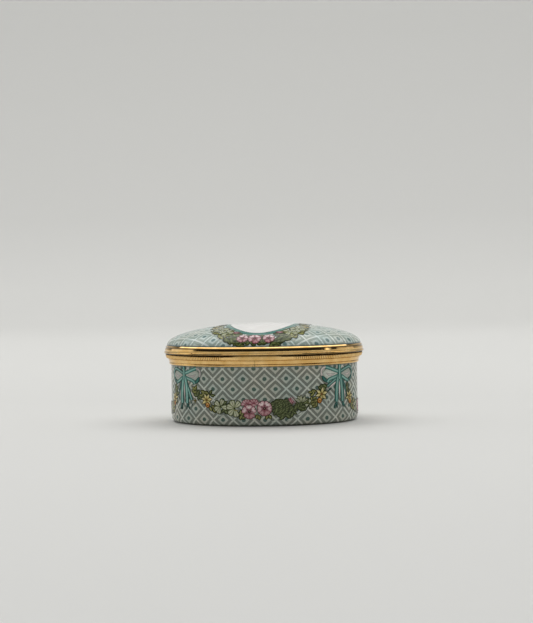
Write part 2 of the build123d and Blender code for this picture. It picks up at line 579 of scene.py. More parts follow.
def stroke_paint(name, along, rim, outline, streak=0.3, vein=None, dim=0.62):
    """Painted enamel of a petal, leaf or ribbon; colours are 8-bit screen ones.

    along is (place, red, green, blue) stops from the stroke's root to its tip,
    rim tints it towards its sides, by streak in lines along it, and outline is
    the drawn edge. vein, if given, is a line down the middle. dim is the linear
    grey or colour that tints the darkest strokes.
    """
    paint = Paint(f"{name}_paint")
    stroke = paint.attribute("stroke").outputs["Vector"]
    edge = paint.attribute("edge").outputs["Fac"]
    down, across, tone = paint.split(stroke)
    rim = srgb(*rim)
    colour = paint.ramp(down, *[(place, srgb(*stop)) for place, *stop in along])
    near_rim = paint.ramp(edge, (0.3, 0.0), (0.76, 0.9))
    colour = paint.mix(near_rim, colour, rim)
    lengthwise = paint.join(
        paint.math("MULTIPLY", down, 1.4),
        paint.math("MULTIPLY", across, 4.2),
        paint.math("MULTIPLY", tone, 37.0),
    )
    lines = paint.ramp(paint.noise(lengthwise, 1.6, 3, 0.6), (0.45, 0.0), (0.62, 1.0))
    colour = paint.mix(paint.math("MULTIPLY", lines, streak), colour, rim)
    if vein is not None:
        middle = paint.ramp(paint.math("ABSOLUTE", across), (0.08, 0.85), (0.2, 0.0))
        colour = paint.mix(middle, colour, srgb(*vein))
    colour = paint.mix(1.0, colour, paint.ramp(tone, (0.0, dim), (0.8, 1.0)), "MULTIPLY")
    colour = paint.mix(paint.ramp(edge, (0.76, 0.0), (0.82, 1.0)), colour, srgb(*outline))
    stipple = paint.noise(paint.place(), 3400, 2, 0.7)
    colour = paint.mottled(colour, stipple, 0.45)
    normal = paint.bump(paint.noise(paint.place(), 500, 2), 0.15, 0.02)
    roughness = paint.ramp(stipple, (0.3, 0.12), (0.7, 0.2))
    return paint.finish(colour, roughness, normal, IOR=1.45, Specular_IOR_Level=0.3)


gilt_mount = gilt("gilt_mount", (0.74, 0.45, 0.15, 1), (0.88, 0.60, 0.26, 1), 0.05, 0.11)
gilt_hinge = gilt("gilt_hinge", (0.60, 0.36, 0.14, 1), (0.78, 0.50, 0.22, 1), 0.2, 0.36)
copper = copper_material()
lining = plain_enamel("lining_enamel", srgb(246, 243, 232), srgb(232, 228, 214))
# The wall's rim band, 15.9 to 16.3 mm, is painted shade under the gilt mount
wall_paint = lattice_enamel("wall_lattice_enamel", WALL_TONES, 15.9, 16.3)
lid_paint = lattice_enamel("lid_lattice_enamel", LID_TONES, 22.25, 21.85)
panel_white = plain_enamel("panel_white_enamel", srgb(252, 250, 247), srgb(246, 245, 241))

INK = (44, 52, 24)
LOOKS = {
    "ground": ([(0, 42, 50, 22), (1, 62, 72, 32)], (50, 58, 26), (40, 48, 22)),
    "dark_leaf": (
        [(0, 62, 74, 34), (0.5, 116, 128, 74), (1, 88, 102, 50)],
        (70, 84, 38), INK, 0.45, (146, 156, 104),
    ),
    "olive_leaf": (
        [(0, 92, 94, 34), (0.5, 164, 162, 86), (1, 134, 136, 64)],
        (104, 110, 44), INK, 0.35, (196, 196, 130),
    ),
    "pale_leaf": (
        [(0, 148, 154, 106), (0.35, 218, 220, 188), (1, 230, 230, 208)],
        (150, 160, 110), (58, 66, 32), 0.25, (104, 114, 64),
    ),
    "pink": (
        [(0, 124, 56, 68), (0.25, 212, 150, 158), (0.5, 252, 240, 236), (1, 244, 218, 218)],
        (214, 152, 160), (104, 48, 58), 0.3, None, srgb(210, 170, 176),
    ),
    "yellow": (
        [(0, 172, 134, 46), (0.4, 238, 224, 150), (1, 255, 252, 228)],
        (224, 206, 122), (78, 72, 28), 0.25,
    ),
    "orange": (
        [(0, 240, 204, 116), (0.5, 230, 166, 74), (1, 196, 124, 50)],
        (166, 92, 34), (78, 50, 20), 0.4,
    ),
    "ribbon": (
        [(0, 108, 176, 162), (0.5, 128, 190, 176), (1, 104, 170, 158)],
        (64, 130, 118), (32, 76, 68), 0.3, (200, 228, 218),
    ),
    "ribbon_dark": (
        [(0, 60, 122, 112), (0.5, 76, 140, 128), (1, 50, 106, 96)],
        (46, 102, 92), (28, 66, 60), 0.5,
    ),
    "pearl": (
        [(0, 236, 222, 214), (0.5, 246, 236, 228), (1, 230, 220, 214)],
        (214, 206, 200), (130, 142, 136),
    ),
    "halo": (
        [(0, 214, 220, 208), (0.5, 228, 232, 220), (1, 214, 220, 208)],
        (200, 208, 194), (184, 194, 180), 0.4,
    ),
    "eye": ([(0, 50, 34, 22), (0.5, 110, 80, 40), (1, 50, 34, 22)], (50, 32, 22), (40, 26, 20)),
    "border": (
        [(0, 92, 146, 134), (0.5, 98, 154, 142), (1, 92, 146, 134)],
        (66, 116, 106), (48, 90, 82),
    ),
}
PAINTS = {name: stroke_paint(name, *look) for name, look in LOOKS.items()}


# ---- enamel skins


def skin_section(inset, rim_z):
    """(offset, z) of the body skin from the underside out and up to its rim."""
    radius = BOTTOM_RADIUS - inset
    corner_steps = 10
    angles = [math.pi / 2 * i / corner_steps for i in range(corner_steps + 1)]
    corner = [
        (-BOTTOM_RADIUS + radius * math.sin(t), BOTTOM_RADIUS - radius * math.cos(t))
        for t in angles
    ]
    wall_steps = 12
    wall = [
        (-inset, BOTTOM_RADIUS + (rim_z - BOTTOM_RADIUS) * i / wall_steps)
        for i in range(1, wall_steps + 1)
    ]
    return corner + wall


def skin_turns(columns):
    """Parameters of the columns of a closed row."""
    return np.linspace(-math.pi, math.pi, columns, endpoint=False)


def enamel_wall():
    """The painted skin of the body, closed over its underside and thickness."""
    turns = skin_turns(SKIN_COLUMNS)
    disc_shares = (0.3, 0.6, 0.85)

    def row(offset, z, share=1.0):
        x, y = wall_oval.place(turns, offset)
        return np.stack([x * share, y * share, np.full(len(turns), z)], axis=-1)

    outer = [row(offset, z) for offset, z in skin_section(0, WALL_TOP)]
    inner = [row(offset, z) for offset, z in skin_section(OUTER_ENAMEL, WALL_TOP)]
    under = [row(-BOTTOM_RADIUS, 0, share) for share in disc_shares]
    floor = [row(-BOTTOM_RADIUS, OUTER_ENAMEL, share) for share in disc_shares]
    rows = [*under, *outer, *reversed(inner), *reversed(floor)]
    points, faces = skin_mesh(rows, [[0, 0, 0], [0, 0, OUTER_ENAMEL]])
    piece = write_mesh(
        "body_enamel", points, faces, "base", wall_paint, ["base_outer_enamel"]
    )
    repeats = 25
    pitch = wall_oval.girth / repeats
    row_height = 5.58
    first_dot = (-1.05, 4.64)

    def place(corners):
        s = wall_oval.distance_at(corners[:, 0], corners[:, 1])
        return (s - first_dot[0]) / pitch, (corners[:, 2] - first_dot[1]) / row_height, repeats

    pattern_map(piece, place)


def dome_shell(inset, turns):
    """Rows from next to the crown down to the foot of the skirt."""
    dome_rows = 40
    rows = []
    for i in range(1, dome_rows + 1):
        down = math.pi / 2 * i / dome_rows
        x = (DOME_A - inset) * math.sin(down) * np.sin(turns)
        y = -(DOME_B - inset) * math.sin(down) * np.cos(turns)
        z = DOME_BASE + (DOME_RISE - inset) * math.cos(down)
        rows.append(np.stack([x, y, np.full(len(turns), z)], axis=-1))
    skirt = rows[-1].copy()
    skirt[:, 2] = LEDGE_TOP
    return [*rows, skirt]


def enamel_dome():
    """The painted skin of the lid, with its skirt inside the lid mount."""
    turns = skin_turns(SKIN_COLUMNS)
    rows = [*dome_shell(0, turns), *reversed(dome_shell(OUTER_ENAMEL, turns))]
    points, faces = skin_mesh(rows, [[0, 0, DOME_TOP], [0, 0, DOME_TOP - OUTER_ENAMEL]])
    piece = write_mesh(
        "lid_enamel", points, faces, "lid", lid_paint, ["lid_outer_enamel"]
    )
    pitch = (5.65, 6.33)
    first_dot = (10.42, -18.32)

    def place(corners):
        x, q = lid_place(corners[:, 0], corners[:, 1])
        return (x - first_dot[0]) / pitch[0], (q - first_dot[1]) / pitch[1], 0

    pattern_map(piece, place)


# ---- mounts


def hinge_cutter(cells, radius, overlap):
    """Cylinders along the hinge axis over some knuckles, longer than them by overlap."""
    work = bmesh.new()
    left_end = -KNUCKLE_PITCH * KNUCKLE_COUNT / 2
    for cell in cells:
        middle = left_end + KNUCKLE_PITCH * (cell + 0.5)
        place = Matrix.Translation(Vector((middle, HINGE.y, HINGE.z)) * MM)
        place @= Matrix.Rotation(math.pi / 2, 4, "Y")
        bmesh.ops.create_cone(
            work,
            cap_ends=True,
            segments=64,
            radius1=radius * MM,
            radius2=radius * MM,
            depth=(KNUCKLE_PITCH + overlap) * MM,
            matrix=place,
        )
    mesh = bpy.data.meshes.new("hinge_cutter")
    work.to_mesh(mesh)
    work.free()
    return add_object("hinge_cutter", mesh)


def cut_hinge(piece, own_cells):
    """Cuts a mount for its own knuckles, and with clearance for the others.

    The narrower cutters reach a little into the wider ones, so that no skin is
    left between two cuts.
    """
    other_cells = [cell for cell in range(KNUCKLE_COUNT) if cell not in own_cells]
    wide_radius = KNUCKLE_RADIUS + KNUCKLE_CLEARANCE
    cuts = ((own_cells, KNUCKLE_RADIUS, SEAT_OVERLAP), (other_cells, wide_radius, 0))
    for cells, radius, overlap in cuts:
        cutter = hinge_cutter(cells, radius, overlap)
        cut = piece.modifiers.new("hinge", "BOOLEAN")
        cut.operation = "DIFFERENCE"
        cut.solver = "EXACT"
        cut.object = cutter
        bpy.context.view_layer.update()
        depsgraph = bpy.context.evaluated_depsgraph_get()
        shaped = bpy.data.meshes.new_from_object(piece.evaluated_get(depsgraph))
        piece.modifiers.remove(cut)
        piece.data = shaped
        bpy.data.objects.remove(cutter)
    shade_smooth(piece.data, sharp=24)


def mount_ring(name, section, columns, shape, body, node, own_cells):
    """Ring of a closed section of (offset, z).

    shape gives the change of offset and the darkening along s, for one point of
    the section: real tarnish, painted shade and painted dark reflection.
    """
    s = (np.arange(columns) / columns - 0.5) * wall_oval.girth
    turns = wall_oval.turn_at(s)
    rows = []
    patina_and_painted_shade = []
    for offset, z in section:
        change, dark = shape(s, offset, z)
        x, y = wall_oval.place(turns, offset + change)
        rows.append(np.stack([x, y, np.full(columns, z)], axis=-1))
        patina_and_painted_shade.append(np.broadcast_to(dark, s.shape))
    points = np.concatenate(rows)
    if body == "base":
        points[:, 1] = np.maximum(points[:, 1], -(WALL_B + THUMB_FLAT_OFFSET))
    faces = grid_faces(len(rows), columns, ring=True)
    piece = write_mesh(name, points, faces, body, gilt_mount, [node])
    # Darkening attribute: real tarnish, painted shade and painted dark reflection
    layer = piece.data.attributes.new("patina_and_painted_shade", "FLOAT", "POINT")
    layer.data.foreach_set("value", np.concatenate(patina_and_painted_shade))
    cut_hinge(piece, own_cells)


def bump_at(value, centre, half_width):
    """1 at centre, falling to 0 at half_width to each side."""
    return np.clip(1 - ((value - centre) / half_width) ** 2, 0, 1)


def base_mount():
    """Lower bead, bowed band and milled upper band, broken by the thumb flat."""
    low = base_mount_low.z
    top = base_mount_high.z
    lower_groove = low + 0.68
    upper_groove = low + 1.74
    milled_low = low + 1.9
    section = moulding(
        (0.15, low),
        ((0.35, low + 0.06), 1),
        ((0.55, low + 0.33), (0.47, low + 0.62), 6),
        ((0.42, lower_groove), (0.5, low + 0.75), 4),
        ((0.66, low + 1.2), (0.84, low + 1.62), 6),
        ((0.82, upper_groove), (0.95, low + 1.8), 4),
        ((1.32, milled_low), 2),
        ((1.55, top - 0.42), 4),
        ((1.47, top - 0.15), (1.2, top), 6),
        ((THROAT_OFFSET, top), 2),
        ((THROAT_OFFSET, SHELL_TOP), 1),
        ((-OUTER_ENAMEL, SHELL_TOP), 1),
        ((-OUTER_ENAMEL, WALL_TOP), 1),
        ((0, WALL_TOP), 1),
        ((0, low), 1),
        ((0.15, low), 1),
    )
    reeds = round(wall_oval.girth * 1.05 / REED_PITCH)
    seam_at = -0.7
    seam_half_width = 0.09
    groove_half_width = 0.07

    def shape(s, offset, z):
        change = 0 * s
        dark = 0 * s
        if offset > 1.22 and z > milled_low - 0.01:
            phase = (s / wall_oval.girth * reeds) % 1
            reed = 1 - np.sqrt(np.clip(1 - (2 * phase - 1) ** 2, 0, 1))
            reed = reed * np.clip((np.abs(s) - SMOOTH_HALF) / 0.8, 0, 1)
            change = change - REED_DEPTH * reed
            # Dark in the reed grooves: real tarnish, and painted shade under the parting bead
            dark = dark + 0.9 * np.clip(reed, 0, 1) ** 2
        if 0.4 < offset < 0.9:
            seam = bump_at(s, seam_at, seam_half_width)
            change = change - 0.05 * seam
            dark = dark + 0.6 * seam
            # Dark in the two grooves: real tarnish in the hollows, and painted shade
            for groove in (lower_groove, upper_groove):
                dark = dark + 0.75 * bump_at(z, groove, groove_half_width)
        # Painted shade on the mount's top rounding, under the lid's parting bead, and on the hidden faces above it
        dark = dark + 0.8 * np.clip((z - top) / 0.25 + 1.4, 0, 1)
        return change, np.clip(dark, 0, 1)

    columns = reeds * COLUMNS_PER_REED
    mount_ring("base_gilt_mount", section, columns, shape, "base", "base_mount", (0, 2, 4))


def lid_mount():
    """Parting bead, upright band, splayed band and top bead over a ledge."""
    low = lid_mount_low.z
    top = lid_mount_high.z
    section = moulding(
        (1.62, low),
        ((1.86, low + 0.1), (1.955, low + 0.3), 6),
        ((1.92, low + 0.52), 2),
        ((1.85, low + 0.61), (1.7, low + 0.65), 5),
        ((1.7, low + 1.18), 2),
        ((1.41, low + 1.76), 2),
        ((1.42, low + 1.885), 1),
        ((1.46, low + 2.03), 1),
        ((1.31, low + 2.17), (1.14, top), 8),
        ((DOME_OFFSET, top), 1),
        ((DOME_OFFSET, LEDGE_TOP), 1),
        ((LEDGE_OFFSET, LEDGE_TOP), 1),
        ((LEDGE_OFFSET, low), 1),
        ((1.62, low), 2),
    )
    columns = 1200
    # Painted dark bands: shade in the crease under the upright band, the dark room's reflection on the splayed
    # band, shade on the lower half of the parting bead
    painted_dark_bands = ((0.65, 0.05, 0.6), (1.8, 0.3, 0.95), (0.08, 0.3, 0.95))
    nick_at = -18.3

    def shape(s, offset, z):
        change = 0 * s
        dark = 0 * s
        if offset > 1.4:
            for height, half_width, strength in painted_dark_bands:
                dark = dark + strength * bump_at(z, low + height, half_width)
        # Painted shade where the top bead turns in to meet the dome, and on the hidden faces inside
        if offset < 1.16:
            dark = dark + 0.9
        if offset > 1.5 and z < low + 0.62:
            change = change - 0.16 * bump_at(s, nick_at, 0.25)
        return change, np.clip(dark, 0, 1)

    mount_ring("lid_gilt_mount", section, columns, shape, "lid", "lid_mount", (1, 3))


# ---- painting


def leaf_form(a):
    """Half width along a pointed leaf, as a share of its widest."""
    return np.sin(math.pi * a**0.85) ** 1.1


def petal_form(a):
    """Half width of a petal that is broadest near its rounded tip."""
    return 1.1 * a**0.7 * np.sqrt(np.clip(1 - a**6, 0, 1))


def disc_form(a):
    return np.sqrt(np.clip(1 - (2 * a - 1) ** 2, 0, 1))


def ribbon_form(a):
    return np.ones_like(a)


def smooth_path(points, count):
    """Even points on a Catmull-Rom curve through the given points."""
    knots = np.asarray([points[0], *points, points[-1]], float)
    spans = len(points) - 1
    made = []
    for t in np.linspace(0, spans, count):
        i = min(int(t), spans - 1)
        f = t - i
        p0, p1, p2, p3 = knots[i:i + 4]
        made.append(0.5 * (
            2 * p1 + (p2 - p0) * f + (2 * p0 - 5 * p1 + 4 * p2 - p3) * f**2
            + (3 * p1 - p0 - 3 * p2 + p3) * f**3
        ))
    return np.asarray(made)


class Artwork:
    """The painting on one enamel surface, one mesh for each colour used."""

    ACROSS = np.array([-1, -0.97, -0.8, -0.4, 0, 0.4, 0.8, 0.97, 1])  # the outline is past 0.8
    SINK = -0.03  # the rim of a stroke lies this deep in the enamel
    FIRST_LIFT = 0.015  # how far the lowest strokes stand off it
    LAYER_STEP = 0.007

    def __init__(self, prefix, surface, body, outline):
        self.prefix = prefix
        self.surface = surface
        self.body = body
        self.outline = outline
        self.meshes = {}

    def stroke(self, paint, spine, half_width, form, layer, tone=None):
        """One closed stroke along a spine of flat places on the surface.

        Its drawn outline has the same width everywhere: "edge" is 0.8 where it
        starts and 1 at the rim.
        """
        spine = np.asarray(spine, float)
        walked = distance_along(spine)
        length = walked[-1]
        open_ended = form is ribbon_form
        near = min(self.outline / length, 0.25)
        places = np.concatenate([
            [0, 0.3 * near], np.linspace(near, 1 - near, len(spine)), [1 - 0.3 * near, 1]
        ])
        centre = np.stack([np.interp(places * length, walked, axis) for axis in spine.T], axis=-1)
        direction = np.gradient(centre, places, axis=0)
        direction /= np.linalg.norm(direction, axis=1, keepdims=True)
        sideways = np.stack([-direction[:, 1], direction[:, 0]], axis=-1)
        inner = slice(1, -1)
        widths = half_width * form(places[inner])
        drawn = np.maximum(widths - self.outline, 0.3 * widths)
        reach = np.stack([widths, 0.97 * widths, drawn, drawn / 2, 0 * widths], axis=-1)
        reach = np.concatenate([-reach, reach[:, 3::-1]], axis=1)
        flat = centre[inner, None, :] + sideways[inner, None, :] * reach[..., None]
        top = self.FIRST_LIFT + self.LAYER_STEP * layer
        lift = np.where(np.abs(self.ACROSS) > 0.99, self.SINK, top)
        lift = np.broadcast_to(lift, flat.shape[:2])
        body_points = self.surface(flat[..., 0], flat[..., 1], lift).reshape(-1, 3)
        tips = self.surface(centre[[0, -1], 0], centre[[0, -1], 1], np.full(2, self.SINK))

        from_end = np.minimum(places[inner], 1 - places[inner])
        at_end = np.where(from_end <= near * 1.001, 1 - 0.2 * from_end / near, 0) * (not open_ended)
        edge = np.maximum(np.abs(self.ACROSS)[None, :], at_end[:, None]).ravel()
        tone = random.random() if tone is None else tone
        along = np.repeat(places[inner], len(self.ACROSS))
        across = np.tile(self.ACROSS, len(widths))
        facts = np.stack([along, across, np.full(len(along), tone), edge], axis=-1)
        tip_facts = [[0, 0, tone, 1], [1, 0, tone, 1]]
        self.gather(paint, body_points, tips, np.vstack([facts, tip_facts]))

    def gather(self, paint, body_points, tips, facts):
        """Adds a stroke's points and faces to its colour's mesh."""
        store = self.meshes.setdefault(paint, {"points": [], "faces": [], "facts": []})
        start = sum(len(p) for p in store["points"])
        wide = len(self.ACROSS)
        rows = len(body_points) // wide
        index = (start + np.arange(rows * wide)).reshape(rows, wide).tolist()
        for row, after in zip(index, index[1:]):
            for j in range(wide - 1):
                store["faces"].append([row[j], row[j + 1], after[j + 1], after[j]])
            store["faces"].append([row[0], after[0], after[-1], row[-1]])
        first_tip = start + rows * wide
        for tip, row in ((first_tip, index[0]), (first_tip + 1, index[-1])):
            store["faces"] += fan_faces(tip, row)
        store["points"].append(np.vstack([body_points, tips]))
        store["facts"].append(facts)

    def write(self):
        for paint, store in self.meshes.items():
            points = np.concatenate(store["points"])
            facts = np.concatenate(store["facts"])
            piece = write_mesh(
                f"{self.prefix}_{paint}", points, store["faces"], self.body,
                PAINTS[paint], sharp=60,
            )
            stroke = piece.data.attributes.new("stroke", "FLOAT_VECTOR", "POINT")
            stroke.data.foreach_set("vector", facts[:, :3].ravel())
            edge = piece.data.attributes.new("edge", "FLOAT", "POINT")
            edge.data.foreach_set("value", facts[:, 3])


class Spot:
    """A place, turn and size that a motif is drawn at."""

    def __init__(self, art, place, turn=0.0, size=1.0, flip=1, layer=0):
        self.art = art
        self.origin = np.array(place)
        self.turn = math.radians(turn)
        self.size = size
        self.flip = flip
        self.layer = layer

    def to_surface(self, points):
        points = np.asarray(points, float) * self.size * np.array([self.flip, 1])
        cosine, sine = math.cos(self.turn), math.sin(self.turn)
        turned = points @ np.array([[cosine, sine], [-sine, cosine]])
        return turned + self.origin

    def stroke(self, paint, points, half_width, form=ribbon_form, lift=0, count=7, tone=None):
        path = smooth_path(self.to_surface(points), count)
        self.art.stroke(paint, path, half_width * self.size, form, self.layer + lift, tone)

    def disc(self, paint, reach, half_width, lift, tone=None, height=0.0):
        """An oval patch, reach long to each side of the spot."""
        points = [(-reach, height), (0, height), (reach, height)]
        self.stroke(paint, points, half_width, disc_form, lift, tone=tone)

    def ray(self, paint, angle, near, far, half_width, form, bend=0.0, lift=0, tone=None):
        """A stroke out from the spot; angle is in degrees, bend sideways."""
        t = math.radians(angle)
        out = np.array([math.cos(t), math.sin(t)])
        side = np.array([-out[1], out[0]])
        points = [out * near, out * (near + far) / 2 + side * bend, out * far]
        self.stroke(paint, points, half_width, form, lift, tone=tone)


def pink_blossom(spot, petals=5):
    """Broad notched petals about a dark eye, palest at the top of the flower."""
    spot.disc("pink", 1.5, 1.5, 0, tone=0.1)
    for i in range(petals):
        angle = 90 + 360 / petals * i + random.uniform(-8, 8)
        height = math.sin(math.radians(angle) + spot.turn)
        tone = 0.5 + 0.5 * height
        reach = 2.0 * random.uniform(0.94, 1.05)
        spot.ray("ground", angle, 0.3, reach + 0.1, 1.25, petal_form, tone=0.5)
        spot.ray("pink", angle, 0.25, reach, 1.25, petal_form, lift=1 + i % 2, tone=tone)
        spot.ray("pink", angle, reach * 0.72, reach + 0.05, 0.09, disc_form, lift=3, tone=0.0)
        for lean in (20, -20):
            spot.ray("pink", angle + lean, 0.25, reach * 0.6, 0.14, leaf_form, lift=3, tone=0.0)
    spot.disc("eye", 0.42, 0.38, 5)
    spot.disc("pink", 0.16, 0.14, 6, tone=1.0, height=0.05)


def pink_cluster(spot):
    """Small deep-pink blossom seen from the side."""
    for angle, reach in ((10, 1.5), (52, 1.35), (92, 1.3), (130, 1.35), (170, 1.5)):
        spot.ray("pink", angle, 0.0, reach, 0.58, petal_form, lift=1, tone=random.uniform(0.0, 0.5))
    spot.stroke("pink", [(-0.9, -0.2), (0, -0.35), (0.9, -0.2)], 0.42, leaf_form, 2, tone=0.2)


def yellow_star(spot, petals=6):
    """Pointed cream petals over dark ones, about a small cluster of stamens."""
    for i in range(petals):
        angle = 360 / petals * i + random.uniform(-6, 6)
        spot.ray("ground", angle, 0.1, 2.15, 0.68, leaf_form, tone=0.3)
        spot.ray("yellow", angle, 0.2, 2.05, 0.47, leaf_form, lift=1 + i % 2)
    spot.disc("orange", 0.28, 0.26, 4)


def orange_bell(spot):
    """Round orange trumpet with a dark mouth."""
    spot.stroke("ground", [(0, 0.9), (0, 0), (0, -0.9)], 0.86, disc_form, 0, tone=0.5)
    spot.stroke("orange", [(0, 0.82), (0, 0), (0, -0.82)], 0.76, disc_form, 1, tone=0.8)
    spot.disc("eye", 0.25, 0.16, 2, height=-0.1)


def clover(spot, headings=(45, 135, 225, 315), length=2.15):
    """Broad veined pale leaves from one point."""
    for i, heading in enumerate(headings):
        width = 0.44 * length
        spot.ray("ground", heading, 0, length + 0.12, width + 0.1, petal_form, tone=0.5)
        tone = random.uniform(0.5, 1.0)
        spot.ray("pale_leaf", heading, 0.1, length, width, petal_form, lift=1 + i % 2, tone=tone)


def leaf_fan(spot, paint, angles, length, half_width):
    """Leaves that spread from one point."""
    for i, angle in enumerate(angles):
        bend = random.uniform(-0.12, 0.12) * length
        reach = length * random.uniform(0.88, 1.08)
        spot.ray("ground", angle, 0, reach + 0.15, half_width + 0.1, leaf_form, bend, tone=0.5)
        spot.ray(paint, angle, 0.1, reach, half_width, leaf_form, bend, lift=1 + i % 2)


def leaf_bank(art, paint, centre, size, count, length, layer, heading, spread=55, under="ground"):
    """Leaves packed over an oval patch, lying along a heading, on darker ones."""
    golden_turn = 2.39996
    for i in range(count):
        share = math.sqrt((i + 0.5) / count)
        turn = i * golden_turn
        x = centre[0] + size[0] * share * math.cos(turn)
        y = centre[1] + size[1] * share * math.sin(turn)
        angle = heading + random.uniform(-spread, spread) + random.choice((0, 180))
        spot = Spot(art, (x, y), angle, layer=layer)
        reach = length / 2 * random.uniform(0.8, 1.2)
        bend = random.uniform(-0.3, 0.3) * reach
        wide = reach + 0.15
        spot.stroke(under, [(-wide, 0), (0, bend), (wide, 0)], reach * 0.7, leaf_form, tone=0.5)
        spot.stroke(paint, [(-reach, 0), (0, bend), (reach, 0)], reach * 0.52, leaf_form, 2 + i % 3)


class Garland:
    """Places motifs along a garland that may be mirrored.

    to_surface turns the garland's own (x, y) into a place on the enamel, and
    mirror is -1 where that swaps the sense in which headings turn.
    """

    def __init__(self, art, to_surface, mirror, spread=55, under_pale="ground"):
        self.art = art
        self.to_surface = to_surface
        self.mirror = mirror
        self.spread = spread
        self.under_pale = under_pale

    def at(self, x, y, turn=0.0, size=1.0, layer=0):
        return Spot(self.art, self.to_surface(x, y), turn, size, layer=layer)

    def bank(self, paint, x, y, size, count, length, layer, heading):
        under = self.under_pale if paint == "pale_leaf" else "ground"
        leaf_bank(
            self.art, paint, self.to_surface(x, y), size, count, length, layer,
            heading * self.mirror, self.spread, under,
        )

    def halo_curls(self, *places):
        """Pale curls of paint at its edge; a place is (x, y, heading)."""
        for x, y, heading in places:
            curl = self.at(x, y, heading * self.mirror)
            curl.stroke("halo", [(-0.9, 0.1), (0, -0.12), (0.9, 0.1)], 0.26, leaf_form)


def bow(art, s, flip, tie, layer=20):
    """Ribbon bow: two loops, two forked tails and a tie that ends at tie.

    Its own x runs outwards from the middle of the front, and z from the knot.
    """
    spot = Spot(art, (s, 13.5), flip=flip, layer=layer)
    for paint, path, half_width, form, lift, count in (
        ("halo", [(-5.8, 0.7), (-3.4, 0.3), (-0.8, 0.4)], 1.5, disc_form, 0, 7),
        ("halo", [(0.7, 0.3), (2.6, 0.1), (5.1, 0.2)], 1.3, disc_form, 0, 7),
        ("ribbon", [(-0.2, 0.8), (-1.6, 1.2), (-3.3, 1.8), (-4.9, 2.3)], 0.55, ribbon_form, 2, 12),
        ("pearl", [(-4.7, 2.3), (-5.9, 1.9), (-6.3, 0.9), (-6.0, -0.1)], 0.36, ribbon_form, 1, 12),
        ("ribbon_dark", [(-6.1, 0.0), (-5.2, -1.2), (-4.0, -2.2)], 0.55, leaf_form, 1, 12),
        (
            "ribbon", [(-4.3, -2.0), (-3.7, -1.2), (-2.0, -0.7), (-0.2, -0.2)],
            0.55, ribbon_form, 2, 12,
        ),
        ("ribbon", [(0.2, 0.7), (1.9, 1.4), (4.2, 2.0), (5.3, 1.4)], 0.5, ribbon_form, 2, 12),
        ("ribbon", [(5.1, 1.7), (5.6, 0.6), (5.1, -1.0)], 0.34, ribbon_form, 1, 10),
        ("ribbon_dark", [(5.3, -0.5), (4.4, -1.5), (3.2, -1.9)], 0.55, leaf_form, 2, 10),
        ("ribbon", [(3.9, -1.9), (2.5, -1.4), (1.3, -0.7), (0.1, -0.2)], 0.5, ribbon_form, 2, 12),
        ("pearl", [(-4.9, 0.8), (-3.7, 0.0), (-2.4, 0.2), (-1.4, 0.5)], 0.36, leaf_form, 1, 7),
        ("pearl", [(4.4, 0.8), (3.4, -0.1), (1.6, 0.2)], 0.42, leaf_form, 1, 7),
        ("ribbon", [(0.05, 2.7), (0, 0.8), (0, -1.3)], 0.55, ribbon_form, 6, 7),
    ):
        spot.stroke(paint, path, half_width, form, lift, count)
    for top, foot, forks in ((-0.9, -1.2, (-1.1, 0.3)), (0.6, 1.0, (0.4, 1.3))):
        tail = [(top * 0.5, -0.3), (top, -2.0), (foot, -4.8), (foot, -7.5)]
        spot.stroke("ribbon", tail, 0.62, lift=3, count=14)
        for lean in forks:
            fork = [(foot, -7.2), (foot + lean * 0.4, -8.2), (foot + lean, -9.3)]
            spot.stroke("ribbon_dark", fork, 0.26, leaf_form, 2)
        sheen = [(foot, -7.4), (foot + 0.1, -8.0), (foot + 0.2, -8.8)]
        spot.stroke("pearl", sheen, 0.2, leaf_form, 1)
    spot.stroke("pearl", [(-0.1, -1.2), (-0.1, -4.0), (-0.1, -7.2)], 0.34, leaf_form, 1, 10)
    tie_middle = (tie[0] * 0.55 - 0.2, tie[1] * 0.5 - 0.4)
    spot.stroke("ribbon", [(-0.5, -0.6), tie_middle, tie], 0.42, lift=1, count=10)
    below = [(x - 0.1, z - 0.85) for x, z in (tie_middle, tie)]
    spot.stroke("pearl", [(-0.8, -1.6), *below], 0.3, leaf_form, 0, 9)
    spot.stroke("ribbon_dark", [(x - 0.1, z - 0.7) for x, z in below], 0.2, leaf_form, 1)
    spot.stroke("ribbon_dark", [(0.9, -0.9), (2.0, -3.2), (2.8, -6.4)], 0.4, leaf_form, 1, 10)
    spot.stroke("pearl", [(1.7, -2.6), (2.1, -4.6), (2.0, -7.0)], 0.34, leaf_form, 0, 9)


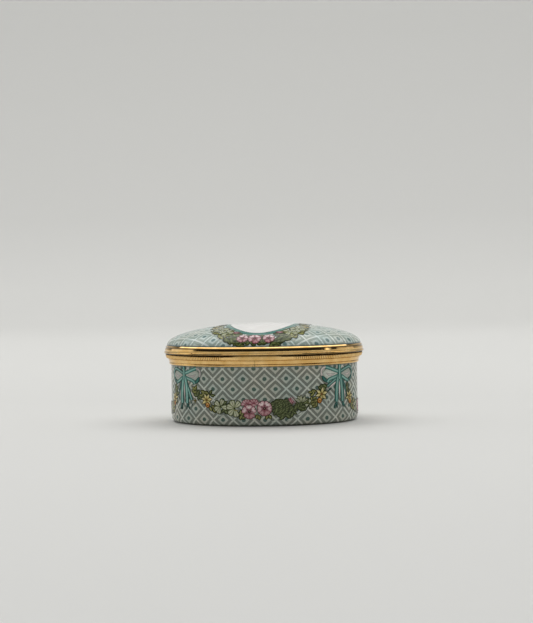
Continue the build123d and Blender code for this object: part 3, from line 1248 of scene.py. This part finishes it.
def front_swag(art, middle, mirror):
    """Garland between two bows; middle is where its blossoms hang."""
    garland = Garland(art, lambda s, z: (middle + mirror * s, z), mirror)
    at = garland.at

    def turned(*angles):
        """Headings, mirrored with the garland."""
        return [angle if mirror > 0 else 180 - angle for angle in angles]

    garland.halo_curls(
        (-20.6, 10.6, -50), (-13.4, 3.9, -35), (-11.0, 3.2, -20), (-12.3, 8.3, -30),
        (4.4, 1.5, 20), (8.6, 1.9, 25), (11.6, 3.4, 35), (19.7, 6.0, -70), (20.6, 6.6, -60),
    )
    garland.bank("olive_leaf", -19.0, 9.8, (0.8, 1.0), 6, 1.9, 1, -60)
    garland.bank("dark_leaf", -17.9, 8.4, (0.9, 1.2), 7, 1.8, 2, -60)
    garland.bank("olive_leaf", -15.6, 8.6, (1.4, 0.9), 7, 1.8, 2, -20)
    leaf_fan(at(-13.9, 8.6, layer=2), "dark_leaf", turned(0, 60), 1.7, 0.42)
    for bank in (
        ("olive_leaf", -12.6, 4.9, (1.2, 0.8), 6, 1.8, 2, -30),
        ("dark_leaf", -9.9, 5.2, (2.2, 1.5), 12, 1.8, 2, 0),
        ("olive_leaf", -4.6, 3.5, (0.8, 1.4), 6, 1.6, 3, 60),
        ("dark_leaf", 6.2, 5.6, (2.9, 1.9), 30, 1.7, 2, 30),
        ("dark_leaf", 7.4, 4.3, (3.1, 1.9), 30, 1.7, 3, 20),
        ("dark_leaf", 12.4, 5.6, (2.5, 1.2), 16, 1.8, 3, 25),
        ("olive_leaf", 15.3, 6.2, (1.5, 1.4), 12, 1.7, 3, 45),
        ("olive_leaf", 15.0, 8.7, (1.0, 0.5), 4, 1.6, 3, 30),
        ("dark_leaf", 18.4, 10.2, (1.0, 0.5), 5, 1.8, 3, 10),
    ):
        garland.bank(*bank)
    yellow_star(at(-14.9, 7.2, 12, 0.92, 8), 7)
    orange_bell(at(-14.6, 5.8, 10, 0.9, 13))
    yellow_star(at(-18.9, 6.9, 0, 0.35, 8), 4)
    clover(at(-10.6, 5.5, layer=6), turned(142, 70, 350, 250, 205), 2.1)
    clover(at(-6.5, 5.0, layer=8), turned(112, 50, 225, 285, 165), 2.4)
    at(-5.9, 4.5, layer=13).stroke("yellow", [(-0.8, 0), (0, 0.05), (0.8, 0)], 0.2, leaf_form)
    leaf_fan(at(0.1, 3.4, layer=5), "olive_leaf", turned(-120, -75), 1.6, 0.55)
    leaf_fan(at(2.8, 3.3, layer=5), "olive_leaf", turned(-115, -60), 1.5, 0.5)
    pink_cluster(at(-3.1, 6.2, 10, 1.05, 10))
    pink_cluster(at(-1.1, 6.3, -5, 1.05, 12))
    pink_blossom(at(-2.4, 4.1, 0, 1.0, 13))
    pink_blossom(at(1.8, 5.0, 30, 1.05, 16), 6)
    for shift in (-0.3, 0.15, 0.6):
        petal = [(-0.6 * mirror, 1.0), (0, 0), (0.6 * mirror, -1.0)]
        bud = at(9.2 + shift, 6.9 + shift * 0.3, layer=12)
        bud.stroke("pink", petal, 0.32, leaf_form, tone=0.1)
    for s in (9.4, 10.2):
        fleck = [(-0.9 * mirror, 1.1), (0.1 * mirror, 0), (1.2 * mirror, -1.2)]
        at(s, 7.4, layer=14).stroke("pearl", fleck, 0.2, leaf_form)
    leaf_fan(at(11.9, 6.3, layer=12), "pale_leaf", turned(60, 90, 122, 152, 25), 2.5, 0.46)
    clover(at(14.2, 5.9, layer=10), turned(80, 300, 200), 1.3)
    yellow_star(at(17.95, 8.4, 20, 1.0, 12))
    orange_bell(at(17.3, 6.7, -10, 0.95, 17))


def end_swag(art, middle):
    """Short garland round the end of the box, the same on both sides of middle."""
    for side in (-1, 1):
        garland = Garland(art, lambda s, z, side=side: (middle + side * s, z), side)
        garland.bank("dark_leaf", 9.3, 9.2, (0.9, 1.2), 7, 1.9, 0, 60)
        garland.bank("olive_leaf", 6.2, 4.6, (1.6, 1.3), 12, 1.9, 3, 40)
        garland.bank("dark_leaf", 3.0, 3.6, (2.0, 1.2), 14, 1.9, 3, 20)
        yellow_star(garland.at(8.4, 7.2, 15, 0.92, 8))
        orange_bell(garland.at(8.1, 5.8, 0, 0.85, 12))
        clover(garland.at(4.4, 4.4, 20, 0.9, 8), length=1.8)
    pink_blossom(Spot(art, (middle - 1.6, 4.3), 0, 0.9, layer=12))
    pink_blossom(Spot(art, (middle + 1.6, 4.0), 30, 0.92, layer=15))
    leaf_fan(Spot(art, (middle, 2.9), layer=5), "olive_leaf", (-150, -90, -30), 1.3, 0.45)


def paint_body():
    """Four bows on the wall, with long and short garlands between them."""
    art = Artwork("body_painting", on_wall, "base", 0.11)
    half_girth = wall_oval.girth / 2
    centre = 0.5
    bow_reach = 23.7
    for middle in (centre, half_girth - centre):
        mirror = 1 if middle < half_girth / 2 else -1
        bow(art, middle - bow_reach, -1, (-3.1, -6.5) if mirror > 0 else (-4.4, -3.1))
        bow(art, middle + bow_reach, 1, (-4.4, -3.1) if mirror > 0 else (-3.1, -6.5))
        front_swag(art, middle - mirror * centre, mirror)
    for side in (-1, 1):
        end_swag(art, side * (half_girth / 2))
    art.write()


def oval_panel():
    """Plain white reserve in the middle of the lid, slightly raised."""
    rings = 14
    lift = 0.03
    turns = skin_turns(128)

    def row(share, height):
        x = PANEL_A * share * np.sin(turns)
        y = PANEL_B * share * np.cos(turns)
        rise = DOME_RISE * np.sqrt(1 - (x / DOME_A) ** 2 - (y / DOME_B) ** 2)
        return off_dome(x, y, rise, height)

    over = [row(i / rings, lift) for i in range(1, rings + 1)]
    under = [row(i / rings, -lift) for i in range(1, rings + 1)]
    poles = [[0, 0, DOME_TOP + lift], [0, 0, DOME_TOP - lift]]
    points, faces = skin_mesh([*over, *reversed(under)], poles)
    write_mesh("lid_panel", points, faces, "lid", panel_white)


def border_stretches(art):
    """Ribbon border round the panel, in overlapping stretches."""
    stretches = 24
    a = PANEL_A + BORDER_WIDTH / 2 - 0.1
    b = PANEL_B + BORDER_WIDTH / 2 - 0.1
    step = math.tau / stretches
    for i in range(stretches):
        turns = np.linspace(i * step - 0.012, (i + 1) * step + 0.012, 9)
        path = [lid_place(a * math.sin(t), -b * math.cos(t)) for t in turns]
        art.stroke("border", path, BORDER_WIDTH / 2, ribbon_form, 1 + i % 2, tone=0.9)


def lid_wreath_side(art, side, end):
    """Leaves and small flowers from the blossoms up one side of the panel."""
    mirror = -side * end
    wreath = Garland(
        art, lambda x, y: lid_place(side * x, end * y), mirror, spread=40, under_pale="dark_leaf"
    )
    wreath.halo_curls(
        (8.6, 19.6, 35), (10.9, 17.6, 40), (12.4, 14.9, 50), (13.6, 11.0, 60), (10.0, 18.9, 45)
    )
    for bank in (
        ("dark_leaf", 5.9, 17.3, (1.3, 0.8), 9, 1.7, 3, 35),
        ("olive_leaf", 7.9, 14.4, (0.8, 1.3), 5, 2.4, 3, 55),
        ("olive_leaf", 9.7, 11.3, (0.8, 1.9), 6, 2.6, 3, 65),
        ("dark_leaf", 7.0, 18.8, (1.6, 1.7), 9, 2.4, 3, 40),
        ("dark_leaf", 6.6, 16.9, (1.5, 0.9), 6, 2.4, 4, 40),
        ("olive_leaf", 9.3, 17.0, (1.4, 1.2), 10, 1.8, 3, 45),
        ("pale_leaf", 9.1, 14.4, (1.3, 1.5), 6, 2.6, 4, 55),
        ("olive_leaf", 11.2, 13.8, (1.4, 1.6), 11, 1.8, 3, 60),
        ("pale_leaf", 11.7, 11.2, (1.3, 1.9), 7, 2.8, 4, 70),
        ("pale_leaf", 11.3, 8.2, (0.9, 1.8), 5, 2.6, 4, 80),
        ("olive_leaf", 12.2, 5.6, (1.0, 2.0), 10, 1.8, 3, 85),
        ("dark_leaf", 11.2, 2.0, (0.8, 2.2), 8, 1.7, 3, 90),
        ("halo", 9.6, 13.2, (2.2, 2.4), 10, 0.9, 8, 50),
        ("halo", 11.9, 9.2, (1.2, 2.0), 6, 0.9, 8, 70),
    ):
        wreath.bank(*bank)
    clover(wreath.at(8.8, 15.0, 20, 1.1, 8), length=2.0)
    clover(wreath.at(10.6, 11.9, 50, 1.1, 9), length=2.0)
    yellow_star(wreath.at(12.7, 8.6, 10, 0.66, 10))
    yellow_star(wreath.at(12.4, 4.9, 40, 0.6, 10))
    clover(wreath.at(11.4, 1.6, 10, 0.66, 8), length=1.7)
    bud = wreath.at(5.9, 15.9, 14 * mirror, 1.0, 12)
    for lift in (-0.25, 0.25):
        bud.stroke("pink", [(-1.2, lift), (0, lift * 1.6), (1.2, lift)], 0.3, leaf_form, tone=0.4)


def paint_lid():
    """Wreath round the white panel, with three blossoms at the front and back."""
    art = Artwork("lid_painting", on_lid, "lid", 0.085)
    border_stretches(art)
    for end in (-1, 1):
        for side in (-1, 1):
            lid_wreath_side(art, side, end)
        for x in (-4.8, -1.7, 1.4, 4.6):
            leaf_bank(art, "dark_leaf", lid_place(x, end * 20.5), (1.8, 1.0), 12, 1.7, 2, 0)
        for x in (-3.9, -1.9, 0.9, 2.9):
            leaf_bank(art, "dark_leaf", lid_place(x, end * 18.7), (1.1, 0.5), 6, 1.5, 4, 0)
        blossoms = ((-4.0, 19.4, 10, 0.82), (-0.6, 19.7, 40, 0.92), (3.2, 19.5, 25, 0.84))
        for x, y, turn, size in blossoms:
            pink_blossom(Spot(art, lid_place(x, end * y), turn, size, layer=13))
    art.write()


# ---- carried-over CAD


def dress_cad_nodes():
    """Gives the CAD nodes that stay visible their materials."""
    looks = {
        "copper": copper,
        "inner_enamel": lining,
        "gilt_brass": gilt_hinge,
    }
    for part in frame["record"]["subparts"]:
        node = frame["nodes"][part["node"]]
        look = looks.get(part["material_slot"])
        if look is None:
            continue
        node.data.materials.clear()
        node.data.materials.append(look)


# ---- studio


def studio_sweep():
    """Pale floor that curves up into the backdrop, with the fall of the light painted into its colour."""
    front = -6.0
    bend_start = 0.75
    bend_radius = 0.5
    bend_steps = 16
    wall_height = 1.7
    half_width = 6.0
    section = [(front, 0.0), (bend_start, 0.0)]
    for i in range(1, bend_steps + 1):
        t = math.pi / 2 * i / bend_steps
        section.append((bend_start + bend_radius * math.sin(t), bend_radius * (1 - math.cos(t))))
    section.append((bend_start + bend_radius, wall_height))
    points = [(x, y, z) for y, z in section for x in (-half_width, half_width)]
    faces = [[2 * i, 2 * i + 1, 2 * i + 3, 2 * i + 2] for i in range(len(section) - 1)]
    mesh = bpy.data.meshes.new("studio_sweep")
    mesh.from_pydata(points, [], faces)
    mesh.polygons.foreach_set("use_smooth", [True] * len(faces))
    paint = Paint("studio_paper")
    place = paint.place()
    _, depth, height = paint.split(place)
    # Painted light: the paper is lighter at the front and darker towards the back and up the backdrop
    painted_falloff_by_depth = paint.ramp(
        paint.math("ADD", paint.math("MULTIPLY", depth, 0.8), 0.35),
        (0.11, srgb(236, 236, 233)),
        (0.26, srgb(230, 230, 227)),
        (0.41, srgb(221, 221, 218)),
        (0.63, srgb(217, 217, 214)),
    )
    painted_falloff_by_height = paint.ramp(height, (0.03, 0.97), (0.1, 0.9), (0.3, 0.88))
    colour = paint.mix(1.0, painted_falloff_by_depth, painted_falloff_by_height, "MULTIPLY")
    normal = paint.bump(paint.noise(place, 60, 4), 0.04, 0.3)
    paint.finish(colour, 0.75, normal, Specular_IOR_Level=0.2)
    mesh.materials.append(paint.material)
    add_object("studio_sweep", mesh)


def soft_light(name, place, aim, size, power, colour=(1, 1, 1)):
    """Rectangular soft box that faces a point."""
    light = bpy.data.lights.new(name, "AREA")
    light.shape = "RECTANGLE"
    light.size, light.size_y = size
    light.energy = power
    light.color = colour
    lamp = add_object(name, light)
    lamp.location = place
    lamp.rotation_mode = "QUATERNION"
    lamp.rotation_quaternion = (Vector(aim) - Vector(place)).to_track_quat("-Z", "Y")


def studio_lights():
    """Soft boxes above, at both sides and low in front, in a dark room.

    The gilt mouldings look dark where they reflect the room between the front
    and the top one.
    """
    soft_light("top_light", (0.0, 0.33, 1.0), (0, 0.33, 0), (2.4, 1.2), 18.5, (1.0, 0.997, 0.99))
    soft_light("front_fill", (0.0, -1.7, 0.4), (0, -0.6, 0), (2.6, 0.75), 5.5)
    soft_light("left_side", (-1.25, 0.35, 0.45), (0, 0.35, 0.2), (1.2, 0.8), 2.6)
    soft_light("right_side", (1.25, 0.35, 0.45), (0, 0.35, 0.2), (1.2, 0.8), 1.8)
    world = bpy.data.worlds.new("room")
    world.use_nodes = True
    background = world.node_tree.nodes["Background"]
    background.inputs["Color"].default_value = (0.9, 0.93, 1.0, 1)
    background.inputs["Strength"].default_value = 0.02
    bpy.context.scene.world = world


def camera():
    """Camera at the front, turned five degrees round the box, fitted to the photograph."""
    place = (0.0382, -0.4253, 0.0414)
    yaw = math.radians(5.0)
    pitch = math.radians(1.418)
    roll = math.radians(-0.97)
    data = bpy.data.cameras.new("camera")
    data.lens = 86.7
    data.sensor_width = 36.0
    data.clip_start = 0.01
    made = add_object("camera", data)
    turn = Matrix.Rotation(yaw, 4, "Z") @ Matrix.Rotation(math.pi / 2 - pitch, 4, "X")
    made.matrix_world = Matrix.Translation(place) @ turn @ Matrix.Rotation(roll, 4, "Z")
    bpy.context.scene.camera = made


camera()
enamel_wall()
enamel_dome()
base_mount()
lid_mount()
oval_panel()
paint_body()
paint_lid()
dress_cad_nodes()
studio_sweep()
studio_lights()
bpy.context.scene.view_settings.view_transform = "Standard"
